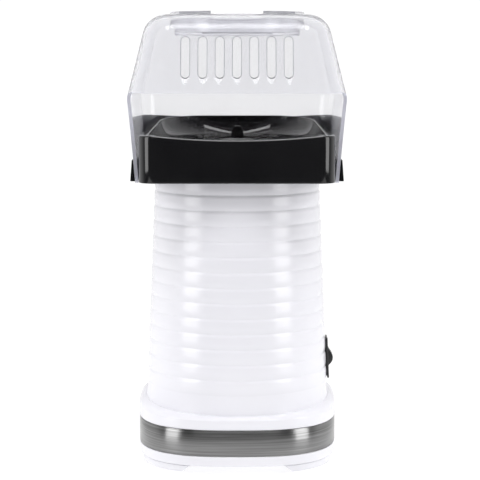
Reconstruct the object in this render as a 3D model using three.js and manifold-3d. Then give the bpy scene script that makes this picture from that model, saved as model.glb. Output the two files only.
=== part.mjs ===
// Hot-air popcorn maker: ribbed tower on a squared base, square chute tray,
// clear hood with a lift-out measuring cup, and the fan, motor and heater inside.
// Millimetres, +Z up, front towards -Y. The base stands on z = 0.
import * as THREE from 'three';
import { mergeVertices } from 'three/addons/utils/BufferGeometryUtils.js';
import Module from 'manifold-3d';

const wasm = await Module();
wasm.setup();

// ---------- driving dimensions ----------
const AXIS_Y = 1.87; // tower axis behind the middle of the footprint
const GAP = 0.3; // space left between touching pieces
const WALL = 2.2; // moulded wall thickness

const BASE = { half: 66.1, front: 66, back: 69, frontPower: 2.7, backPower: 3.4 };
const HOUSING_BOTTOM = 5.6;
const BAND = { bottom: 12.3, top: 29.4, thickness: 0.5, recess: 0.9 };
const LEDGE = { edgeZ: 35.3, meetZ: 37.9, rise: 0.035 };
const TOWER = { topZ: 190.8, radiusAtTop: 54.9, taper: 0.0425 };
const RIB = { pitch: 9.97, depth: 0.55, topCrease: 180 };
const TOP_FLANGE = { inner: 43.5, bottom: 184.2, top: 186.7 };

const FOOT = { inset: 0.6, bottom: 0.8, top: 5.3, gapTop: 63, gapBottom: 74 };
const FLOOR = { inset: 2.6, top: 8.2 };
const PAD = { radius: 6, height: 3, x: 44, yFront: -43, yBack: 48 };
const CASE_SCREW = { x: 37, yFront: -31, yBack: 36 };

const TRAY = { half: 62.6, front: -66, back: 61.8, corner: 11, bottom: 188.6, floor: 191.3, shelf: 218.8 };
const RIM = { front: 219, back: 227, dip: 3.2 };
const BOWL = { half: 56.2, front: -61.5, back: 54, frontCorner: 7, backCorner: 26, narrowing: 0.1 };
const HOLE = { radius: 37.5, edgeZ: 211.2, bottom: 205.3 };
const CHEEK = {
  inner: 66.6, outer: 68.8, topOuter: 67.8, top: 202.6, start: -45, back: 67.4,
  raised: 227.4, droop: 3.2, riseFrom: 15, riseTo: 58, spreadX: 0.00133, spreadY: 0.00074,
};
const TRAY_SCREW = { radius: 49.4, boss: 3.1, angles: [30, 150, 270] };

const HOOD = {
  wall: 2.2, top: 295.5, round: 15, widestZ: 242, half: 69.9, front: -74, back: 66.5,
  sideSlope: 0.235, frontSlope: 0.34, backSlope: 0.2, corner: 18,
  bottom: 188, skirtHalf: 65.2, skirtBack: 64.4, overChannel: 191.6, tabEnd: -45.9,
};
const MOUTH = { edgeZ: 245.7, topY: -57, bottomY: -50, round: 4 };
const SLOT = { count: 7, pitch: 10.8, width: 5.3, bottom: 255.2, top: 280.8 };
const CUP = {
  bandRadius: 43.1, bodyRadius: 41.7, wall: 1.5, bottom: 281.6, stepZ: 288.2,
  rimZ: 295.5, gripTop: 297.5, gripOuter: 44.6, fingerGap: 33.6,
};
const COLLAR = { outer: 45.1, wall: 1.3, lipInner: 42.4, lipBottom: 286.6, lipTop: 287.9 };

const SWITCH = { z: 65.6, height: 27.6, width: 13.4, proud: 1.5, depth: 12 };
const ROCKER = { half: 11.1, width: 9.2, tilt: 7, crown: 3.2 };

const CHAMBER = { inner: 36, wall: 1, bottom: 126, top: 203.5, flange: 41.9, vents: 12 };
const SHROUD = { inner: 40.3, wall: 1, bottom: 88, top: 201.6, flange: 46, flangeZ: 187 };
const HEATER = { bottom: 93, top: 119, arm: 28.2, coilRadius: 30, wire: 0.8, turns: 4 };
const FAN = { z: 38, radius: 38, hub: 9, blades: 8, height: 15, shaft: 1.15 };
const DUCT = { inner: 40.3, wall: 1.4, bottom: 26, top: 86 };
const GLAND = { z: 54, hole: 5.2, neck: 4.9, collar: 7.5, bore: 2.4 };
const MOTOR = { bottom: 58.6, top: 85, radius: 15.6, wall: 1, plateZ: 56 };

// ---------- materials ----------
const material = (color, roughness, metalness, opacity = 1) =>
  new THREE.MeshStandardMaterial({ color, roughness, metalness, opacity, transparent: opacity < 1 });
const WHITE = material(0xeeeef3, 0.25, 0);
const BLACK = material(0x0c0c0d, 0.18, 0);
const CLEAR = material(0xe9e9f2, 0.08, 0, 0.35);
const BRUSHED = material(0x9a9a98, 0.35, 1);
const RUBBER = material(0x2a2a2a, 0.8, 0);
const ALUMINIUM = material(0xbfc1c4, 0.4, 1);
const STEEL = material(0x8d9094, 0.35, 1);
const BRASS = material(0xb59650, 0.35, 1);
const MICA = material(0xb9a98a, 0.6, 0);
const NICHROME = material(0x6b6660, 0.5, 1);
const SILICONE = material(0xb5452f, 0.7, 0);
const GREY_PLASTIC = material(0x6f7276, 0.5, 0);
const BOARD = material(0x2f6b45, 0.6, 0);
const LEAD_INSULATION = material(0xd9d4c4, 0.6, 0);

// ---------- solids ----------
const machine = new THREE.Group();
machine.position.y = AXIS_Y;

/** Position-only copy with shared vertices merged and thin triangles removed. */
function welded(geometry) {
  const bare = geometry.clone();
  for (const name of Object.keys(bare.attributes)) if (name !== 'position') bare.deleteAttribute(name);
  const merged = mergeVertices(bare, 1e-4);
  const index = [];
  for (let i = 0; i < merged.index.count; i += 3) {
    const [a, b, c] = [0, 1, 2].map((k) => merged.index.getX(i + k));
    if (a !== b && b !== c && c !== a) index.push(a, b, c);
  }
  merged.setIndex(index);
  return volume(merged) < 0 ? flipped(merged) : merged;
}

function volume(geometry) {
  const p = geometry.attributes.position;
  const [a, b, c] = [new THREE.Vector3(), new THREE.Vector3(), new THREE.Vector3()];
  let sum = 0;
  for (let i = 0; i < geometry.index.count; i += 3) {
    [a, b, c].forEach((v, k) => v.fromBufferAttribute(p, geometry.index.getX(i + k)));
    sum += a.dot(b.cross(c)) / 6;
  }
  return sum;
}

function flipped(geometry) {
  const index = Array.from(geometry.index.array);
  for (let i = 0; i < index.length; i += 3) [index[i], index[i + 1]] = [index[i + 1], index[i]];
  geometry.setIndex(index);
  return geometry;
}

function toManifold(geometry) {
  const g = welded(geometry);
  return new wasm.Manifold(new wasm.Mesh({
    numProp: 3,
    vertProperties: new Float32Array(g.attributes.position.array),
    triVerts: new Uint32Array(g.index.array),
  }));
}

function fromManifold(body) {
  const mesh = body.getMesh();
  const geometry = new THREE.BufferGeometry();
  geometry.setAttribute('position', new THREE.BufferAttribute(new Float32Array(mesh.vertProperties), 3));
  geometry.setIndex(Array.from(mesh.triVerts));
  return geometry;
}

const combine = (how, first, others) =>
  fromManifold(others.reduce((body, g) => body[how](toManifold(g)), toManifold(first)));
const cut = (body, ...tools) => combine('subtract', body, tools);
const join = (body, ...others) => combine('add', body, others);

function piece(name, geometry, look) {
  const shown = welded(geometry);
  shown.computeVertexNormals();
  const mesh = new THREE.Mesh(shown, look);
  mesh.name = name;
  machine.add(mesh);
  return mesh;
}

// ---------- shape helpers ----------
/** Skin over equal-length rings of points. A loop joins its last ring to its first; else both ends cap. */
function skin(rings, loop = true) {
  const count = rings[0].length;
  const positions = rings.flat().flatMap((p) => [p.x, p.y, p.z]);
  const index = [];
  const last = loop ? rings.length : rings.length - 1;
  for (let j = 0; j < last; j++) {
    const [low, high] = [j * count, ((j + 1) % rings.length) * count];
    for (let i = 0; i < count; i++) {
      const n = (i + 1) % count;
      index.push(low + i, low + n, high + n, low + i, high + n, high + i);
    }
  }
  if (!loop) {
    for (const [ring, start, turn] of [[rings[0], 0, 1], [rings.at(-1), (rings.length - 1) * count, -1]]) {
      const centre = ring.reduce((s, p) => s.add(p), new THREE.Vector3()).divideScalar(count);
      positions.push(centre.x, centre.y, centre.z);
      const hub = positions.length / 3 - 1;
      for (let i = 0; i < count; i++) {
        const n = (i + 1) % count;
        index.push(hub, start + (turn > 0 ? n : i), start + (turn > 0 ? i : n));
      }
    }
  }
  const geometry = new THREE.BufferGeometry();
  geometry.setAttribute('position', new THREE.Float32BufferAttribute(positions, 3));
  geometry.setIndex(index);
  return geometry;
}

/** Solid of revolution about Z from [radius, z] points; it closes on itself or on the axis. */
function turned(profile, segments = 24) {
  const points = profile.map(([r, z]) => new THREE.Vector2(r, z));
  const onAxis = profile[0][0] === 0 && profile.at(-1)[0] === 0;
  if (!onAxis) points.push(points[0].clone());
  return new THREE.LatheGeometry(points, segments).rotateX(Math.PI / 2);
}

const ringSolid = (inner, outer, low, high, segments = 24) =>
  turned([[inner, low], [outer, low], [outer, high], [inner, high]], segments);
const disc = (radius, low, high, segments = 16) =>
  turned([[0, low], [radius, low], [radius, high], [0, high]], segments);

function block(x0, x1, y0, y1, z0, z1) {
  return new THREE.BoxGeometry(x1 - x0, y1 - y0, z1 - z0)
    .translate((x0 + x1) / 2, (y0 + y1) / 2, (z0 + z1) / 2);
}

/** Prism of an outline of [u, v] points: u and v are Y and Z for 'x', or X and Z for 'y'. */
function prism(outline, along, low, high) {
  const shape = outline instanceof THREE.Shape
    ? outline : new THREE.Shape(outline.map(([u, v]) => new THREE.Vector2(u, v)));
  const g = new THREE.ExtrudeGeometry(shape, { depth: high - low, bevelEnabled: false, curveSegments: 6 });
  if (along === 'x') return g.rotateX(Math.PI / 2).rotateZ(Math.PI / 2).translate(low, 0, 0);
  return g.rotateX(Math.PI / 2).translate(0, high, 0);
}

const polar = (radius, angle, z) =>
  new THREE.Vector3(radius * Math.cos(angle), radius * Math.sin(angle), z);
const degrees = THREE.MathUtils.degToRad;

// ---------- base plan and tower ----------
const ROUND_COUNT = 40;

/** Distance from the axis to the base outline, which is squarer at the back than at the front. */
function baseRadius(angle, inset = 0) {
  const [c, s] = [Math.abs(Math.cos(angle)), Math.abs(Math.sin(angle))];
  const atFront = Math.sin(angle) < 0;
  const power = atFront ? BASE.frontPower : BASE.backPower;
  const depth = (atFront ? BASE.front : BASE.back) - inset;
  return ((c / (BASE.half - inset)) ** power + (s / depth) ** power) ** (-1 / power);
}

function ringAround(radiusAt, zAt) {
  return Array.from({ length: ROUND_COUNT }, (_, i) => {
    const angle = (i / ROUND_COUNT) * 2 * Math.PI;
    return polar(radiusAt(angle), angle, zAt(angle));
  });
}
const baseRing = (inset, z) => ringAround((a) => baseRadius(a, inset), () => z);
const roundRing = (radius, z) => ringAround(() => radius, () => z);
const towerRadius = (z) => TOWER.radiusAtTop + (TOWER.topZ - z) * TOWER.taper;
const ledgeRise = (angle) => LEDGE.rise * (BASE.front + baseRadius(angle) * Math.sin(angle));

/** Convex ledge from the base edge to the foot of the tower; part runs from 0 to 1. */
function ledgeRing(part, inset = 0) {
  const [across, up] = [1 - Math.cos(part * Math.PI / 2), Math.sin(part * Math.PI / 2)];
  return ringAround(
    (a) => THREE.MathUtils.lerp(baseRadius(a, inset), towerRadius(LEDGE.meetZ) - inset, across),
    (a) => THREE.MathUtils.lerp(LEDGE.edgeZ, LEDGE.meetZ, up) - inset + ledgeRise(a),
  );
}

/** Ribs: each band swells from a crease to its crest and back. */
function ribRings() {
  const rings = [];
  const start = LEDGE.meetZ + ledgeRise(Math.PI / 2) + 1;
  const count = Math.floor((RIB.topCrease - start) / RIB.pitch);
  for (let i = count; i >= 0; i--) {
    const z = RIB.topCrease - i * RIB.pitch;
    rings.push(roundRing(towerRadius(z) - RIB.depth, z));
    rings.push(roundRing(towerRadius(z), z + RIB.pitch / 2));
  }
  return rings;
}

function towerHousing() {
  const flangeTop = TOP_FLANGE.top;
  const bore = towerRadius(flangeTop) - WALL;
  return skin([
    baseRing(0, HOUSING_BOTTOM),
    baseRing(0, BAND.bottom - GAP),
    baseRing(BAND.recess, BAND.bottom - GAP),
    baseRing(BAND.recess, BAND.top + GAP),
    baseRing(0, BAND.top + GAP),
    ledgeRing(0), ledgeRing(0.4), ledgeRing(0.75), ledgeRing(1),
    ...ribRings(),
    roundRing(towerRadius(TRAY.bottom), TRAY.bottom),
    roundRing(TOWER.radiusAtTop, TOWER.topZ),
    roundRing(TOWER.radiusAtTop - WALL, TOWER.topZ),
    roundRing(bore, flangeTop),
    roundRing(TOP_FLANGE.inner, flangeTop),
    roundRing(TOP_FLANGE.inner, TOP_FLANGE.bottom),
    roundRing(bore, TOP_FLANGE.bottom),
    roundRing(towerRadius(LEDGE.meetZ) - WALL - RIB.depth, LEDGE.meetZ + 2),
    ledgeRing(0.75, WALL), ledgeRing(0, WALL),
    baseRing(WALL, LEDGE.edgeZ - WALL),
    baseRing(WALL, HOUSING_BOTTOM),
  ]);
}

function addTower() {
  const hole = SWITCH.height / 2 - 1;
  const side = SWITCH.width / 2 - 1;
  const window = block(50, 80, -side, side, SWITCH.z - hole, SWITCH.z + hole);
  const screwHoles = TRAY_SCREW.angles.map((a) => {
    const p = polar(TRAY_SCREW.radius, degrees(a), 0);
    return disc(1.8, TOP_FLANGE.bottom - 1, TOP_FLANGE.top + 1, 10).translate(p.x, p.y, 0);
  });
  const gland = new THREE.CylinderGeometry(GLAND.hole, GLAND.hole, 30, 16).translate(0, 66, GLAND.z);
  piece('tower_housing', cut(towerHousing(), window, gland, ...screwHoles), WHITE);
  const outside = BAND.recess - GAP - BAND.thickness;
  piece('steel_band', skin([
    baseRing(outside, BAND.bottom), baseRing(outside, BAND.top),
    baseRing(BAND.recess - GAP, BAND.top), baseRing(BAND.recess - GAP, BAND.bottom),
  ]), BRUSHED);
}

// ---------- base cover, feet and case screws ----------
const corners = (x, yFront, yBack) => [[-x, yFront], [x, yFront], [-x, yBack], [x, yBack]];

/** Trapezoid air gap between two feet, running through the base along one axis. */
function footGap(along) {
  const [t, b] = [FOOT.gapTop / 2, FOOT.gapBottom / 2];
  const [low, high] = [FOOT.bottom - 0.5, FOOT.top];
  return prism([[-b, low], [b, low], [t, high], [-t, high]], along, -90, 90);
}

function intakeSlots() {
  const slots = [];
  for (let i = -4; i <= 4; i++) {
    const x = i * 7;
    const reach = Math.sqrt(32 ** 2 - x ** 2);
    slots.push(block(x - 1.8, x + 1.8, -reach, reach, FOOT.top - 1, FLOOR.top + 1));
  }
  return slots;
}

function addBase() {
  const slab = skin([
    baseRing(FOOT.inset + 0.8, FOOT.bottom), baseRing(FOOT.inset, FOOT.bottom + 0.8),
    baseRing(FOOT.inset, FOOT.top), baseRing(FLOOR.inset, FOOT.top), baseRing(FLOOR.inset, FLOOR.top),
  ], false);
  const pockets = corners(PAD.x, PAD.yFront, PAD.yBack).map(([x, y]) =>
    disc(PAD.radius + GAP, 0, PAD.height + GAP, 20).translate(x, y, 0));
  const holes = corners(CASE_SCREW.x, CASE_SCREW.yFront, CASE_SCREW.yBack).map(([x, y]) =>
    join(disc(1.9, 0, 12, 10), disc(3.6, 0, FOOT.top - 1.2, 14)).translate(x, y, 0));
  piece('base_cover', cut(slab, footGap('x'), footGap('y'), ...intakeSlots(), ...pockets, ...holes), WHITE);
  corners(PAD.x, PAD.yFront, PAD.yBack).forEach(([x, y], i) => {
    const pad = turned([[0, 0], [PAD.radius - 0.6, 0], [PAD.radius, 0.6], [PAD.radius, PAD.height],
      [0, PAD.height]], 16);
    piece(`foot_pad_${i + 1}`, pad.translate(x, y, 0), RUBBER);
  });
  corners(CASE_SCREW.x, CASE_SCREW.yFront, CASE_SCREW.yBack).forEach(([x, y], i) => {
    piece(`case_screw_${i + 1}`, screw(FOOT.top - 1.2 + GAP, 9, 3.2, 1.5).translate(x, y, 0), STEEL);
  });
}

/** Pan-head screw standing up from a seat: head under the seat, thread above it. */
function screw(seat, length, headRadius, threadRadius) {
  const head = seat - GAP - 1.6;
  return turned([[0, head], [headRadius, head], [headRadius, seat - GAP], [threadRadius, seat - GAP],
    [threadRadius, seat + length - 1], [0, seat + length]], 10);
}

// ---------- chute tray ----------
const CORNER_STEPS = 6;
const FRONT_STEPS = 6;
const SIDE_STEPS = 12;

/** Rounded rectangle ring with its own front and back corner radii, front side first. */
function rectRing({ half, front, back, frontCorner, backCorner = frontCorner, z, narrowing = 0 }) {
  const points = [];
  const centres = [
    [half - frontCorner, front + frontCorner, frontCorner, -90],
    [half - backCorner, back - backCorner, backCorner, 0],
    [-(half - backCorner), back - backCorner, backCorner, 90],
    [-(half - frontCorner), front + frontCorner, frontCorner, 180],
  ];
  for (const [x, y, radius, from] of centres) {
    for (let i = 0; i <= CORNER_STEPS; i++) {
      const angle = degrees(from + (90 * i) / CORNER_STEPS);
      points.push([x + radius * Math.cos(angle), y + radius * Math.sin(angle)]);
    }
  }
  const [endX] = centres[0];
  for (let i = 1; i < FRONT_STEPS; i++) points.push([-endX + (2 * endX * i) / FRONT_STEPS, front]);
  return points.map(([x, y]) => {
    const wide = x * (1 - narrowing * (y - front) / (back - front));
    return new THREE.Vector3(wide, y, typeof z === 'function' ? z(wide, y) : z);
  });
}
const circleRing = (radius, z) => rectRing({
  half: radius, front: -radius, back: radius, frontCorner: radius, z,
});

/** Height of the tray rim: low at the front with a dipped lip, rising to the back. */
function rimHeight(x, y) {
  const along = THREE.MathUtils.clamp((y - BOWL.front) / (BOWL.back - BOWL.front), 0, 1);
  const lip = THREE.MathUtils.clamp((BOWL.front + 12 - y) / 12, 0, 1);
  const dip = RIM.dip * lip * Math.max(0, 1 - (x / BOWL.half) ** 2);
  return THREE.MathUtils.lerp(RIM.front, RIM.back, along) - dip;
}

/** Level shelf outside the rim; it dips with the front lip. */
const shelfHeight = (x, y) => Math.min(rimHeight(x, y), TRAY.shelf);

function trayRing(inset, z) {
  return rectRing({
    half: TRAY.half - inset, front: TRAY.front + inset, back: TRAY.back - inset,
    frontCorner: TRAY.corner - Math.min(inset, 6), z,
  });
}

/** Bowl section: its back corners grow rounder with the same measure as its front ones. */
function bowlRing(inset, drop, corner = 0) {
  return rectRing({
    half: BOWL.half - inset, front: BOWL.front + inset * 0.5, back: BOWL.back - inset,
    frontCorner: BOWL.frontCorner + corner, backCorner: BOWL.backCorner + 1.35 * corner,
    narrowing: BOWL.narrowing, z: (x, y) => rimHeight(x, y) - drop(x, y),
  });
}

/** Bowl surface: steep at the back and sides, nearly level behind the front lip. */
const toDeck = (part) => (x, y) => part * (rimHeight(x, y) - HOLE.edgeZ - 1.2);

function trayBody() {
  const under = 2;
  return skin([
    trayRing(0.4, TRAY.bottom), trayRing(0, TRAY.bottom + 0.6),
    trayRing(0, (x, y) => shelfHeight(x, y) - 1), trayRing(0.9, shelfHeight),
    bowlRing(-1.5, (x, y) => rimHeight(x, y) - shelfHeight(x, y), 1), bowlRing(-1.2, () => 0, 1),
    bowlRing(0, () => 1), bowlRing(3.2, toDeck(0.65), 8), bowlRing(7, toDeck(1), 16),
    circleRing(HOLE.radius + 1.4, HOLE.edgeZ + 0.7),
    circleRing(HOLE.radius, HOLE.edgeZ - 0.8),
    circleRing(HOLE.radius, HOLE.bottom),
    circleRing(HOLE.radius + 1.8, HOLE.bottom),
    circleRing(HOLE.radius + 1.8, HOLE.edgeZ - under),
    bowlRing(6, (x, y) => toDeck(1)(x, y) + under, 16),
    bowlRing(1.2, (x, y) => toDeck(0.65)(x, y) + under, 8),
    trayRing(WALL, (x, y) => shelfHeight(x, y) - 2.4),
    trayRing(WALL, TRAY.floor), circleRing(TOWER.radiusAtTop + 0.8, TRAY.floor),
    circleRing(TOWER.radiusAtTop + 0.8, TRAY.bottom),
  ]);
}

/** How far the wall outside the hood skirt rises: it is raised round the back corners. */
function cheekRise(x, y) {
  const part = THREE.MathUtils.smoothstep(y, CHEEK.riseFrom, CHEEK.riseTo);
  return part * (CHEEK.raised - CHEEK.top - CHEEK.droop * (1 - Math.abs(x) / CHEEK.inner));
}

/** Side and back cheek outside the hood skirt, with the floor of the channel between. */
function cheekBody() {
  const backGap = CHEEK.back - CHEEK.outer;
  const ring = (half, z) => withSideSteps(rectRing({
    half, front: TRAY.front, back: half < CHEEK.inner ? TRAY.back - 1 : half + backGap,
    frontCorner: TRAY.corner, backCorner: TRAY.corner + half - TRAY.half, z: 0,
  })).map((p) => p.setZ(z));
  const raised = (half) => ring(half, CHEEK.top).map((p) => {
    const rise = cheekRise(p.x, p.y);
    const [x, y] = [p.x * (1 + CHEEK.spreadX * rise), p.y * (1 + CHEEK.spreadY * rise)];
    return new THREE.Vector3(x, y, CHEEK.top + rise);
  });
  const wall = skin([
    ring(TRAY.half - 1, TRAY.bottom), ring(CHEEK.outer, TRAY.bottom), ring(CHEEK.topOuter, CHEEK.top),
    raised(CHEEK.topOuter), raised(CHEEK.inner), ring(CHEEK.inner, CHEEK.top),
    ring(CHEEK.inner, TRAY.floor), ring(TRAY.half - 1, TRAY.floor),
  ]);
  return cut(wall, block(-90, 90, -90, CHEEK.start, 150, 250));
}

/** Ring with extra points along its two long side edges. */
function withSideSteps(points) {
  const made = [];
  points.forEach((p, i) => {
    made.push(p);
    const next = points[(i + 1) % points.length];
    const long = Math.abs(next.y - p.y) > 40;
    for (let k = 1; long && k < SIDE_STEPS; k++) made.push(p.clone().lerp(next, k / SIDE_STEPS));
  });
  return made;
}

/** Small arched rib at the foot of the bowl's back wall. */
function archRib() {
  const shape = new THREE.Shape();
  const [half, top, foot] = [4.3, 216.6, HOLE.edgeZ - 0.4];
  shape.moveTo(-half, foot);
  shape.lineTo(half, foot);
  shape.lineTo(half, top);
  shape.absarc(0, top, half, 0, Math.PI, false);
  shape.closePath();
  return prism(shape, 'y', 40.5, 52);
}

function addTray() {
  const bosses = TRAY_SCREW.angles.map((a) => {
    const p = polar(TRAY_SCREW.radius, degrees(a), 0);
    return disc(TRAY_SCREW.boss, TOP_FLANGE.top + 1, HOLE.edgeZ - 0.4, 16).translate(p.x, p.y, 0);
  });
  const bores = TRAY_SCREW.angles.map((a) => {
    const p = polar(TRAY_SCREW.radius, degrees(a), 0);
    return disc(1.8, TOP_FLANGE.top, 200, 10).translate(p.x, p.y, 0);
  });
  piece('chute_tray', cut(join(trayBody(), cheekBody(), archRib(), ...bosses), ...bores), BLACK);
  TRAY_SCREW.angles.forEach((a, i) => {
    const p = polar(TRAY_SCREW.radius, degrees(a), 0);
    piece(`tray_screw_${i + 1}`, screw(TOP_FLANGE.bottom, 14, 2.8, 1.4).translate(p.x, p.y, 0), STEEL);
  });
}

// ---------- hood ----------
/** Hood outline at a height, drawn in by inset; the skirt below its widest line is straighter. */
function hoodRing(z, inset = 0, shoulder = 0) {
  const skirt = THREE.MathUtils.clamp((HOOD.widestZ - z) / (HOOD.widestZ - HOOD.bottom), 0, 1);
  const above = Math.max(0, z - HOOD.widestZ);
  const half = THREE.MathUtils.lerp(HOOD.half, HOOD.skirtHalf, skirt ** 0.85) - HOOD.sideSlope * above;
  const back = THREE.MathUtils.lerp(HOOD.back, HOOD.skirtBack, skirt) - HOOD.backSlope * above;
  return rectRing({
    half: half - inset - shoulder,
    front: HOOD.front + HOOD.frontSlope * above + inset + 0.85 * shoulder,
    back: back - inset - 0.75 * shoulder,
    frontCorner: HOOD.corner - inset,
    backCorner: THREE.MathUtils.lerp(HOOD.corner, TRAY.corner + 2.2, skirt) - inset,
    z,
  });
}

/** Rings of the rounded shoulder, tangent to the sloping wall and level at the top. */
function shoulderRings(inset) {
  const [radius, lean] = [HOOD.round - inset, Math.atan(HOOD.sideSlope)];
  const [centre, start] = [HOOD.top - HOOD.round, HOOD.top - HOOD.round + radius * Math.sin(lean)];
  return [0, 0.25, 0.5, 0.75, 1].map((part) => {
    const angle = lean + part * (Math.PI / 2 - lean);
    const z = centre + radius * Math.sin(angle);
    const drawn = radius * (Math.cos(lean) - Math.cos(angle)) - HOOD.sideSlope * (z - start);
    return hoodRing(z, inset, drawn);
  });
}

function hoodShell() {
  const levels = [HOOD.bottom, 205, 222, HOOD.widestZ, 262];
  const { wall } = HOOD;
  return skin([
    ...levels.map((z) => hoodRing(z)),
    ...shoulderRings(0),
    circleRing(COLLAR.outer - COLLAR.wall, HOOD.top),
    circleRing(COLLAR.outer - COLLAR.wall, COLLAR.lipTop),
    circleRing(COLLAR.lipInner, COLLAR.lipTop),
    circleRing(COLLAR.lipInner, COLLAR.lipBottom),
    circleRing(COLLAR.outer, COLLAR.lipBottom),
    circleRing(COLLAR.outer, HOOD.top - wall),
    ...shoulderRings(wall).reverse(),
    ...levels.map((z) => hoodRing(z, wall)).reverse(),
  ]);
}

/** Everything in front of the mouth: a level top edge, a small radius and sloping side edges. */
function mouthCut() {
  const { edgeZ, topY, bottomY, round } = MOUTH;
  const shape = new THREE.Shape();
  shape.moveTo(-95, edgeZ);
  shape.lineTo(-95, 180);
  shape.lineTo(bottomY, 180);
  shape.lineTo(topY, edgeZ - round);
  shape.quadraticCurveTo(topY - 0.6, edgeZ, topY - round - 0.6, edgeZ);
  shape.closePath();
  return prism(shape, 'x', -90, 90);
}

function slotCut(x) {
  const r = SLOT.width / 2;
  const shape = new THREE.Shape();
  shape.absarc(0, SLOT.top - r, r, 0, Math.PI, false);
  shape.absarc(0, SLOT.bottom + r, r, Math.PI, 2 * Math.PI, false);
  shape.closePath();
  return prism(shape, 'y', -85, -40).translate(x, 0, 0);
}

function addHood() {
  const middle = (SLOT.count - 1) / 2;
  const slots = Array.from({ length: SLOT.count }, (_, i) => slotCut((i - middle) * SLOT.pitch));
  const channel = block(-90, 90, HOOD.tabEnd, 90, HOOD.bottom - 1, HOOD.overChannel);
  piece('hood', cut(hoodShell(), mouthCut(), channel, ...slots), CLEAR);
}

function addCup() {
  const { bandRadius, bodyRadius, wall, bottom, stepZ, rimZ, gripTop, gripOuter } = CUP;
  const lip = HOOD.top + GAP;
  const body = turned([
    [0, bottom], [bodyRadius - 1, bottom], [bodyRadius, bottom + 1], [bodyRadius, stepZ], [bandRadius, stepZ],
    [bandRadius, lip], [gripOuter, lip], [gripOuter, gripTop], [bandRadius - wall, gripTop],
    [bandRadius - wall, stepZ + wall], [bodyRadius - wall, stepZ + wall], [bodyRadius - wall, bottom + wall],
    [0, bottom + wall],
  ], 36);
  const half = CUP.fingerGap / 2;
  const fingers = block(-half, half, -60, 60, rimZ, gripTop + 1);
  piece('measuring_cup', cut(body, fingers), CLEAR);
}

// ---------- switch ----------
/** The switch is built square and leans with the tower wall; x is measured from the wall. */
function addSwitch() {
  const [h, w] = [SWITCH.height / 2, SWITCH.width / 2];
  const lean = -Math.atan(TOWER.taper);
  const put = (name, geometry, look) =>
    piece(name, geometry.rotateY(lean).translate(towerRadius(SWITCH.z), 0, SWITCH.z), look);
  const bezel = block(GAP, SWITCH.proud, -w, w, -h, h);
  const barrel = block(-SWITCH.depth, 1, -w + 1.4, w - 1.4, -h + 1.4, h - 1.4);
  const well = block(-9, 5, -w + 1.9, w - 1.9, -ROCKER.half - 0.5, ROCKER.half + 0.5);
  put('switch_body', cut(join(bezel, barrel), well), BLACK);
  [-6, 6].forEach((z, i) => {
    const x = -SWITCH.depth - GAP;
    put(`switch_terminal_${i + 1}`, block(x - 5, x, -3.2, 3.2, z - 0.4, z + 0.4), BRASS);
  });

  const pivot = -1.5;
  const [reach, level] = [ROCKER.half, SWITCH.proud - pivot];
  const crown = level + ROCKER.crown;
  const shape = new THREE.Shape();
  shape.moveTo(-3.5, -reach + 2.5);
  shape.lineTo(level - 1.7, -reach);
  shape.lineTo(level - 0.4, -6.8);
  shape.bezierCurveTo(level + 0.5, -4.6, crown, -3.4, crown, 0);
  shape.bezierCurveTo(crown, 3.4, level + 0.5, 4.6, level - 0.4, 6.8);
  shape.lineTo(level - 1.7, reach);
  shape.lineTo(-3.5, reach - 2.5);
  shape.closePath();
  const half = ROCKER.width / 2;
  const rocker = piece('switch_rocker', prism(shape, 'y', -half, half), BLACK);
  const axle = new THREE.Vector3(pivot, 0, 0).applyAxisAngle(new THREE.Vector3(0, 1, 0), lean);
  rocker.position.set(towerRadius(SWITCH.z) + axle.x, 0, SWITCH.z + axle.z);
  rocker.rotation.y = lean + degrees(ROCKER.tilt);
}

// ---------- popping chamber and heater ----------
function addChamber() {
  const { inner, wall, bottom, top, flange, vents } = CHAMBER;
  const pot = turned([
    [0, bottom], [inner + wall - 3, bottom], [inner + wall, bottom + 3], [inner + wall, top - 1.2],
    [flange, top - 1.2], [flange, top], [inner, top], [inner, bottom + 3.4], [inner - 2.6, bottom + wall],
    [12, bottom + wall], [0, bottom + wall + 5],
  ], 28);
  const louvres = Array.from({ length: vents }, (_, i) =>
    block(inner - 3, inner + 4, -1.1, 1.1, bottom + 6, bottom + 20)
      .rotateX(degrees(20)).rotateZ((i / vents) * 2 * Math.PI));
  piece('popping_chamber', cut(pot, ...louvres), ALUMINIUM);
  piece('chamber_gasket', ringSolid(inner + 2.4, flange, top + GAP, HOLE.bottom - GAP), SILICONE);
  const s = SHROUD;
  piece('heater_shroud', turned([
    [s.inner, s.bottom], [s.inner + s.wall, s.bottom], [s.inner + s.wall, s.flangeZ], [s.flange, s.flangeZ],
    [s.flange, s.flangeZ + 1.2], [s.inner + s.wall, s.flangeZ + 1.2],
    [s.inner + s.wall, s.top], [s.inner, s.top],
  ], 28), STEEL);
}

function addHeater() {
  const { bottom, top, arm, coilRadius, wire, turns } = HEATER;
  const armLength = block(-arm, arm, -0.5, 0.5, bottom, top);
  piece('heater_former', join(armLength, armLength.clone().rotateZ(Math.PI / 2)), MICA);
  const height = top - bottom - 6;
  class Helix extends THREE.Curve {
    getPoint(t) {
      return polar(coilRadius, t * turns * 2 * Math.PI + 0.3, bottom + 3 + t * height);
    }
  }
  const section = new THREE.Shape();
  section.absarc(0, 0, wire, 0, 2 * Math.PI, false);
  piece('heating_coil', new THREE.ExtrudeGeometry(section, {
    steps: turns * 14, extrudePath: new Helix(), curveSegments: 3, bevelEnabled: false,
  }), NICHROME);
  const thermostat = disc(7, 0, 6, 18).rotateY(Math.PI / 2).translate(-HEATER_SIDE - 6, 0, 150);
  piece('thermostat', thermostat, GREY_PLASTIC);
  piece('thermal_fuse', disc(1.7, -6, 6, 10).translate(0, HEATER_SIDE + 2, 140), BRASS);
}
const HEATER_SIDE = SHROUD.inner + SHROUD.wall + GAP;

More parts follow.
